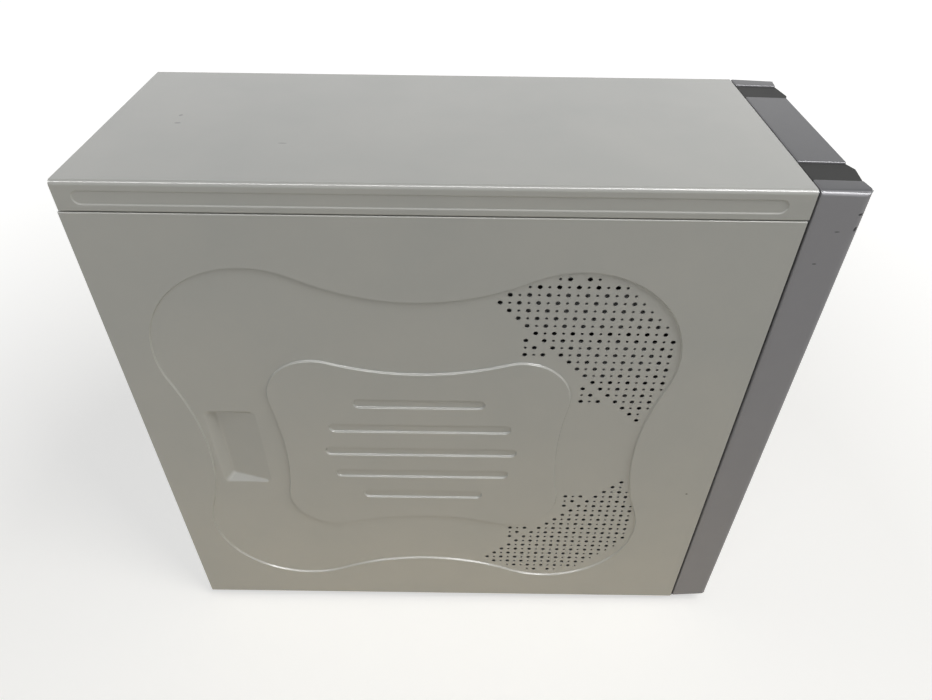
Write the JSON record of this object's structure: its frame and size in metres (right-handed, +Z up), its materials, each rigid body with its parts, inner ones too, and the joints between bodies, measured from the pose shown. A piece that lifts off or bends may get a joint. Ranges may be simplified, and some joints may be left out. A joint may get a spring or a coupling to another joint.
{
  "type": "desktop computer",
  "caption": "Mid-tower desktop computer: painted steel case with a pressed, vented side panel, moulded silver front bezel, drive bays, and drives, supply, board, card and fans inside.",
  "frame": {"origin": "middle of the bounding box on the surface that the feet stand on", "axes": "+Z up, -Y the front bezel, -X the vented side panel"},
  "size_m": [0.18, 0.4646, 0.4223],
  "materials": {
    "painted_steel": "light grey satin paint, finely grained",
    "bare_steel": "zinc-plated sheet, unpainted",
    "silver_plastic": "silver-grey paint on moulded plastic",
    "dark_plastic": "dark grey moulded plastic",
    "black_plastic": "black moulded plastic",
    "board": "green lacquered circuit board with its sockets",
    "aluminium": "bare aluminium",
    "rubber": "dark soft rubber",
    "green_lens": "clear green lens",
    "amber_lens": "clear amber lens"
  },
  "bodies": {
    "chassis": {"top_cover": "painted_steel", "base_pan": "bare_steel", "front_frame": "bare_steel", "rear_panel": "bare_steel", "board_tray": "bare_steel", "drive_cage_wide": "bare_steel", "drive_cage_slim": "bare_steel", "optical_drive": "bare_steel", "floppy_drive": "bare_steel", "supply_case": "bare_steel", "rear_ports": "bare_steel", "slot_cover_1": "bare_steel", "slot_cover_2": "bare_steel", "front_bezel": "silver_plastic", "wide_bay_cover_1": "silver_plastic", "wide_bay_cover_2": "silver_plastic", "wide_bay_cover_3": "silver_plastic", "slim_bay_cover": "silver_plastic", "optical_drive_face": "silver_plastic", "floppy_drive_face": "silver_plastic", "bezel_strip_upper_left": "dark_plastic", "bezel_strip_upper_right": "dark_plastic", "bezel_strip_lower_left": "dark_plastic", "bezel_strip_lower_right": "dark_plastic", "front_ports": "black_plastic", "case_fan_frame": "black_plastic", "supply_fan_frame": "black_plastic", "cooler_fan_frame": "black_plastic", "power_inlet": "black_plastic", "supply_cable_board": "black_plastic", "supply_cable_optical": "black_plastic", "supply_cable_disk": "black_plastic", "main_board": "board", "memory_module": "board", "graphics_card": "board", "hard_disk": "aluminium", "processor_cooler": "aluminium", "supply_fan_guard": "aluminium", "foot_front_left": "rubber", "foot_rear_left": "rubber", "foot_front_right": "rubber", "foot_rear_right": "rubber", "power_lamp": "green_lens", "drive_lamp": "amber_lens"},
    "left_panel": {"side_panel_left": "painted_steel", "thumbscrew_left_lower": "aluminium", "thumbscrew_left_upper": "aluminium"},
    "right_panel": {"side_panel_right": "painted_steel", "thumbscrew_right_lower": "aluminium", "thumbscrew_right_upper": "aluminium"},
    "power_button": {"power_button": "silver_plastic"},
    "reset_button": {"reset_button": "silver_plastic"},
    "disc_tray": {"optical_tray": "dark_plastic"},
    "disc_eject": {"optical_eject_button": "silver_plastic"},
    "floppy_eject": {"floppy_eject_button": "silver_plastic"},
    "case_fan": {"case_fan_rotor": "black_plastic"},
    "supply_fan": {"supply_fan_rotor": "black_plastic"},
    "cooler_fan": {"cooler_fan_rotor": "black_plastic"},
    "supply_rocker": {"supply_rocker": "black_plastic"},
    "voltage_selector": {"supply_voltage_selector": "amber_lens"}
  },
  "joints": [
    {"name": "left_panel_slide", "type": "slide", "parent": "chassis", "child": "left_panel", "axis": [0, 1, 0], "range_m": [0, 0.44]},
    {"name": "right_panel_slide", "type": "slide", "parent": "chassis", "child": "right_panel", "axis": [0, 1, 0], "range_m": [0, 0.44]},
    {"name": "power_button_press", "type": "slide", "parent": "chassis", "child": "power_button", "axis": [0, 1, 0], "range_m": [0, 0.0025], "stiffness_N_per_m": 600, "springref_m": -0.001},
    {"name": "reset_button_press", "type": "slide", "parent": "chassis", "child": "reset_button", "axis": [0, 1, 0], "range_m": [0, 0.0015], "stiffness_N_per_m": 500, "springref_m": -0.001},
    {"name": "disc_tray_slide", "type": "slide", "parent": "chassis", "child": "disc_tray", "axis": [0, -1, 0], "range_m": [0, 0.13]},
    {"name": "disc_eject_press", "type": "slide", "parent": "chassis", "child": "disc_eject", "axis": [0, 1, 0], "range_m": [0, 0.001], "stiffness_N_per_m": 500, "springref_m": -0.001},
    {"name": "floppy_eject_press", "type": "slide", "parent": "chassis", "child": "floppy_eject", "axis": [0, 1, 0], "range_m": [0, 0.006], "stiffness_N_per_m": 250, "springref_m": -0.002},
    {"name": "case_fan_spin", "type": "hinge", "parent": "chassis", "child": "case_fan", "pos_m": [-0.03, 0.2131, 0.2513], "axis": [0, 1, 0], "continuous": true},
    {"name": "supply_fan_spin", "type": "hinge", "parent": "chassis", "child": "supply_fan", "pos_m": [0.027, 0.2116, 0.3723], "axis": [0, 1, 0], "continuous": true},
    {"name": "cooler_fan_spin", "type": "hinge", "parent": "chassis", "child": "cooler_fan", "pos_m": [0.0175, 0.1276, 0.2493], "axis": [1, 0, 0], "continuous": true},
    {"name": "supply_rocker_tilt", "type": "hinge", "parent": "chassis", "child": "supply_rocker", "pos_m": [-0.054, 0.223, 0.3583], "axis": [1, 0, 0], "range_deg": [-16, 0]},
    {"name": "voltage_selector_slide", "type": "slide", "parent": "chassis", "child": "voltage_selector", "axis": [1, 0, 0], "range_m": [0, 0.006]}
  ]
}
